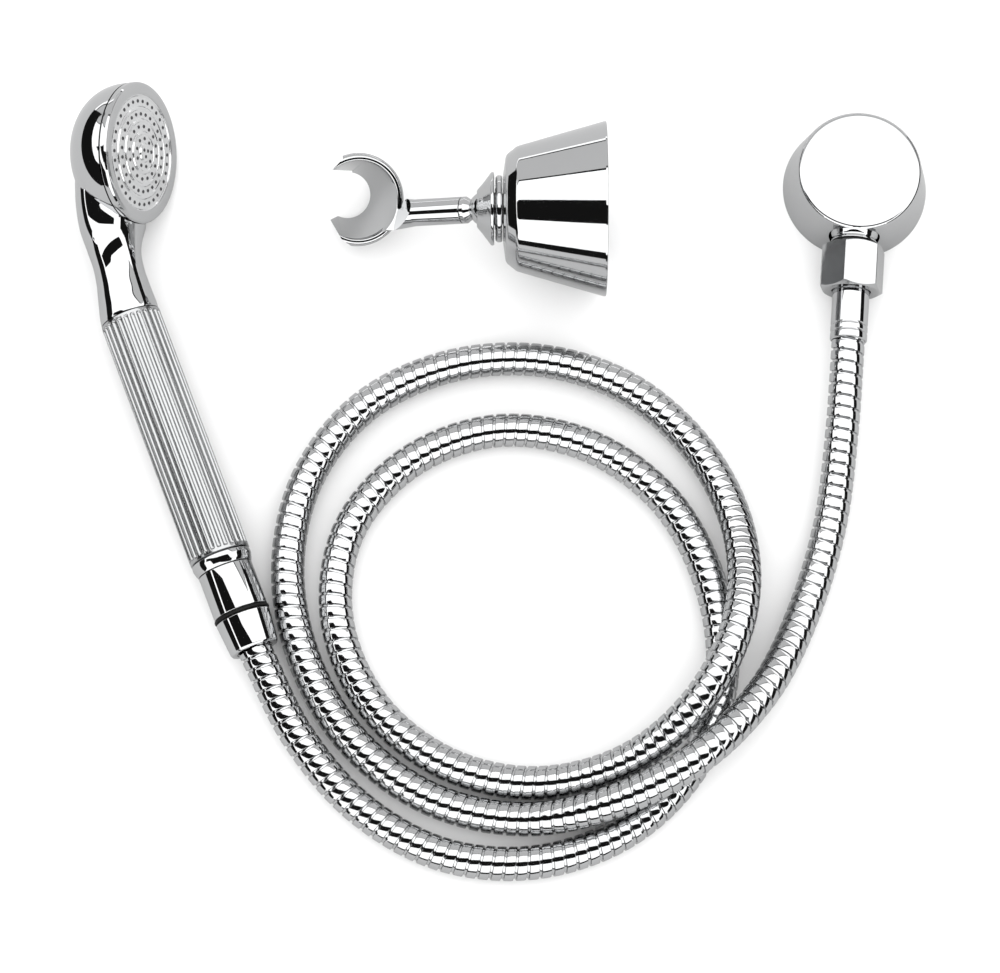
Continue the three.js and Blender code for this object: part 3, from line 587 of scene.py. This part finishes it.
def make_head():
    shell = bowl("head_back", 29.4, 27.65, SEAM)
    boolean(shell, make_neck(), "UNION")
    cut(shell, disc(29.9, SEAM, 12, FACE, 160))
    # The water's way runs slantwise from the grip to the hollow of the head.
    waterway = HANDSET @ shift(0, 0, 160) @ spin(math.degrees(math.atan2(14, 38)), "Y")
    cut(shell, bowl("cutter", 27.4, 25.4, 2), disc(7.8, 140, 166, HANDSET), disc(4.5, 0, 50, waterway))
    dress(shell, CHROME, "handset", "head_shell", crease=38)

    dress(lathe("face_rim", [
        (24.9, -3), (29.2, -3, 0.3), (29.55, -2.5, 0.3), (29.55, -0.55, 0.45), (28.9, 0.25, 0.5),
        (27.6, 0.55, 0.6), (25.2, 0.62, 0.25), (24.3, 0.36), (24.3, 0.22), (24.9, 0.22),
    ], FACE), CHROME, "handset", "face_bezel")

    plate = lathe("nozzle_plate", [
        (0, -2.6), (24.6, -2.6), (24.6, 0.2), (24.0, 0.2, 0.3), (23.5, -0.3, 0.4), (19.6, -0.2, 0.5),
        (19.0, 0.45, 0.35), (18.3, 0.45, 0.35), (17.9, 0.15, 0.4), (14.4, 0.3, 0.5), (13.8, 0.95, 0.35),
        (13.1, 0.95, 0.35), (12.7, 0.65, 0.4), (9.2, 0.8, 0.5), (8.6, 1.5, 0.35), (7.9, 1.5, 0.35),
        (7.5, 1.2, 0.4), (4.2, 1.3, 0.5), (3.6, 2.1, 0.4), (1.5, 2.2, 0.6), (0, 2.2),
    ], FACE)
    holes, nozzles = [], []
    for radius, count, start, top in NOZZLE_RINGS:
        for k in range(count):
            a = (k + start) * 2 * math.pi / count
            spot = FACE @ shift(radius * math.cos(a), radius * math.sin(a), 0)
            holes.append(disc(0.8, -1.2, 4, spot, 16))
            nozzles.append(lathe("nozzle", [
                (0, -1.2), (0.74, -1.2), (0.74, top + 0.05, 0.1), (0.62, top + 0.3, 0.12),
                (0.34, top + 0.3, 0.08), (0.3, top - 0.6), (0, top - 0.6)], spot, 16, 2))
    cut(plate, join("cutter", holes))
    dress(plate, FACE_CHROME, "handset", "spray_face", crease=40)
    dress(join("rubber_nozzles", nozzles), NOZZLE, "handset", slot="rubber")


make_grip()
handle_parts = make_handle()
make_head()

# ---------------------------------------------------------------- bracket

BALL_R, SEAT_R = 7.5, 7.8
CRADLE_R, CRADLE_HALF = 19.7, 11  # the ring's outside, and half its height
STEM_FLARE, STEM_END = 29, 14  # where the stem starts to widen, and its end, back from the reach
BORE_LOW, BORE_HIGH = 9.5, 16.6  # radii of the cradle's bore at its foot and its rim
# What is cut away from the ring, seen along MOUTH_WAY.
MOUTH_OUTLINE = [
    (-60, -60), (0.1, -60), (0.1, -21), (-4.9, -17.4), (-9.7, -9.3), (-6.2, -7.6), (-0.5, -7.6),
    (-0.5, 11.3), (-8.7, 11.5), (-4.4, 15.9), (-4.4, 60), (-60, 60),
]


def half_circle(radius, height, start, end, count):
    """Points on a circle round the axis at a height, from one angle above level to another."""
    return [(radius * math.cos(a), height + radius * math.sin(a)) for a in np.linspace(start, end, count)]


def make_bracket():
    cone = lathe("bracket_cone", [
        (34.1, 0.02), (36.28, 0.02, 0.3), (36.28, 0.9, 0.5), (25.9, 37.0, 4.2), (22.2, 41.6, 3.4),
        (14.2, 42.7, 0.5), (8.5, 42.7), (8.5, 40.5), (20, 39.5), (22.6, 36.8),
    ], CONE, 160, 8)
    cut(cone, disc(2, 25, 45, CONE @ shift(0, 0, 6) @ spin(-90, "Y")))
    dress(cone, CHROME, "bracket", "escutcheon")

    dress(lathe("bracket_step", [
        (9.9, 43), (13.5, 43, 0.5), (13.9, 43.8, 0.8), (13.9, 45, 0.8), (13.1, 45.9, 0.5), (9.9, 45.9),
    ], CONE), CHROME, "bracket", "step_ring")

    collar = lathe("bell_nut", [
        (0, 46.4), (14.9, 46.4, 0.3), (15.3, 47, 0.5), (15.0, 47.8, 0.5), (12.9, 49.3, 3), (10.7, 51, 4),
        (8.8, 52.6, 3), (8.0, 53.3, 0.4), (7.5, 53.6), (0, 53.6),
    ], CONE)
    arc = half_circle(SEAT_R, BALL_AT, -math.pi / 2, math.pi / 2, 33)[1:-1]
    seat = lathe("cutter", [(0, BALL_AT - SEAT_R), *arc, (0, BALL_AT + SEAT_R)], CONE, 96)
    cut(collar, seat, disc(6.4, 51.5, 60, CONE, 96), disc(9.9, 45.4, 49.1, CONE, 96))
    dress(collar, CHROME, "bracket_collar", "bell_collar")

    neck_angle = 0.976  # where the neck leaves the ball, in radians above level
    ball = half_circle(BALL_R, 0, -math.pi / 2, neck_angle, 30)[1:]
    stem = lathe("ball_and_stem", [(0, -BALL_R), *ball, (4.2, 6.6), (4.9, 7.9, 0.5), (5.6, 8.8, 0.4),
                                   (5.6, 10.5, 0.15), (0, 10.5)], ARM, 96)
    dress(stem, CHROME, "bracket_arm", "ball_stem")

    half = CRADLE_HALF
    ring = lathe("cradle_fork", [
        (BORE_LOW, -half, 0.5), (15.8, -half, 0.9), (16.6, -half + 1.2, 2), (CRADLE_R, half - 1.6, 2),
        (18.4, half, 1.3), (16.7, half, 0.6), (16.0, half - 1.9, 0.6),
    ], CRADLE, 160)
    flare, end = CRADLE_REACH - STEM_FLARE, CRADLE_REACH - STEM_END
    stem = lathe("cutter", [
        (0, 10.8), (5.6, 10.8, 0.15), (5.6, flare, 8), (6.2, flare + 5, 6), (7.2, end), (0, end),
    ], ARM, 96)
    bore = [(0, -26), (BORE_LOW, -26), (BORE_LOW, -half), (BORE_HIGH, half), (BORE_HIGH, 26), (0, 26)]
    flat = frame_along(FLAT_WAY, CRADLE_MIDDLE + BORE * half)
    cut(stem, lathe("cutter", bore, CRADLE, 160), disc(CRADLE_R, 0, 20, flat, 160))
    boolean(ring, stem, "UNION")
    cut(ring, prism("cutter", MOUTH_OUTLINE, -45, 45, MOUTH))
    dress(ring, CHROME, "bracket_cradle", "cradle", crease=35)


make_bracket()

# ---------------------------------------------------------------- inner pieces keep their CAD shape

INNER = [
    (CHROME, ("outlet_body", "hose_insert_outlet", "hose_insert_handset")),  # plated where they show
    (BRASS, ("handle_tube",)),
    (STEEL, ("cover_set_screw", "check_valve_spring", "inlet_filter", "mounting_plate", "grub_screw")),
    (RUBBER, ("wall_gasket", "hose_washer_outlet", "hose_washer_handset", "grip_oring_lower",
              "grip_oring_upper", "face_gasket")),
    (PLASTIC, ("check_valve_body", "check_valve_poppet", "flow_disc", "ball_seat")),
]
for material, names in INNER:
    for name in names:
        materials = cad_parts[name].data.materials
        materials.clear()
        materials.append(material)

# ---------------------------------------------------------------- floor and light


def plain(name, colour, glow=0.0):
    """A dull material without gloss, or one that only glows."""
    material = bpy.data.materials.new(name)
    material.use_nodes = True
    nodes, links = material.node_tree.nodes, material.node_tree.links
    shader = nodes["Principled BSDF"]
    shader.inputs["Roughness"].default_value = 0.8
    shader.inputs["Specular IOR Level"].default_value = 0
    if glow:
        shader.inputs["Emission Color"].default_value = (*colour, 1)
        shader.inputs["Emission Strength"].default_value = glow
        shader.inputs["Base Color"].default_value = (0, 0, 0, 1)
    else:
        mottle = nodes.new("ShaderNodeTexNoise")
        mottle.inputs["Scale"].default_value = 6
        tone = nodes.new("ShaderNodeMix")
        tone.data_type = "RGBA"
        tone.inputs["A"].default_value = (*(c * 0.985 for c in colour), 1)
        tone.inputs["B"].default_value = (*colour, 1)
        links.new(mottle.outputs["Fac"], tone.inputs["Factor"])
        links.new(tone.outputs["Result"], shader.inputs["Base Color"])
    return material


def sheet_of(name, corners, material, only_reflected=True):
    """A flat stage card with these corners in metres."""
    mesh = bpy.data.meshes.new(name)
    mesh.from_pydata(corners, [], [list(range(len(corners)))])
    mesh.materials.append(material)
    made = bpy.data.objects.new(name, mesh)
    scene.collection.objects.link(made)
    if only_reflected:
        made.visible_camera = made.visible_diffuse = made.visible_shadow = False
        made.visible_transmission = made.visible_volume_scatter = False
    return made


def floor_sheet(name, level, tone, reflected):
    """The paper floor, once for the camera and once, darker, for the chrome to reflect."""
    made = sheet_of(name, [(-6, -6, level), (6, -6, level), (6, 6, level), (-6, 6, level)],
                    plain(name, (tone, tone, tone)), False)
    made.visible_shadow = False
    made.visible_glossy = reflected
    made.visible_camera = made.visible_diffuse = not reflected


floor_sheet("floor_paper", 0, 0.72, False)
floor_sheet("floor_reflected", 0.0002, 0.44, True)

SKY = 2.15
world = bpy.data.worlds.new("studio")
world.use_nodes = True
world.node_tree.nodes["Background"].inputs["Color"].default_value = (1, 1, 1, 1)
world.node_tree.nodes["Background"].inputs["Strength"].default_value = SKY
scene.world = world

BLACK = plain("card_black", (1, 1, 1), glow=0.012)
GREY = plain("card_grey", (1, 1, 1), glow=0.85)
# Dark gap over the camera, wider at the left, at one metre above the floor.
sheet_of("card_over", [(-1.7, -0.74, 1.0), (1.1, -0.74, 1.0), (1.1, -0.2, 1.0), (-0.35, -0.17, 1.0),
                       (-0.6, 0.04, 1.0), (-1.7, 0.04, 1.0)], BLACK)
# Grey wall behind, from about 35 to 83 degrees off the zenith.
sheet_of("card_back", [(-1.6, 0.95, 1.15), (1.6, 0.95, 1.15), (1.6, 1.6, 0.2), (-1.6, 1.6, 0.2)], GREY)
# The dark room shows as a thin line above and below that wall, and low down in front.
sheet_of("card_back_edge", [(-1.66, 0.921, 1.227), (1.66, 0.921, 1.227), (1.66, 1.662, 0.145),
                            (-1.66, 1.662, 0.145)], BLACK)
sheet_of("card_front", [(-1.3, -1.5, -0.01), (1.3, -1.5, -0.01), (1.3, -1.5, 0.28), (-1.3, -1.5, 0.28)],
         BLACK)
# Dark room at both sides, low down.
for name, x in (("card_side_left", -1.3), ("card_side_right", 1.3)):
    sheet_of(name, [(x, -1.4, -0.01), (x, 1.4, -0.01), (x, 1.4, 0.6), (x, -1.4, 0.6)], BLACK)

scene.view_settings.view_transform = "Standard"
scene.view_settings.look = "None"

# ---------------------------------------------------------------- the end

bpy.context.view_layer.update()
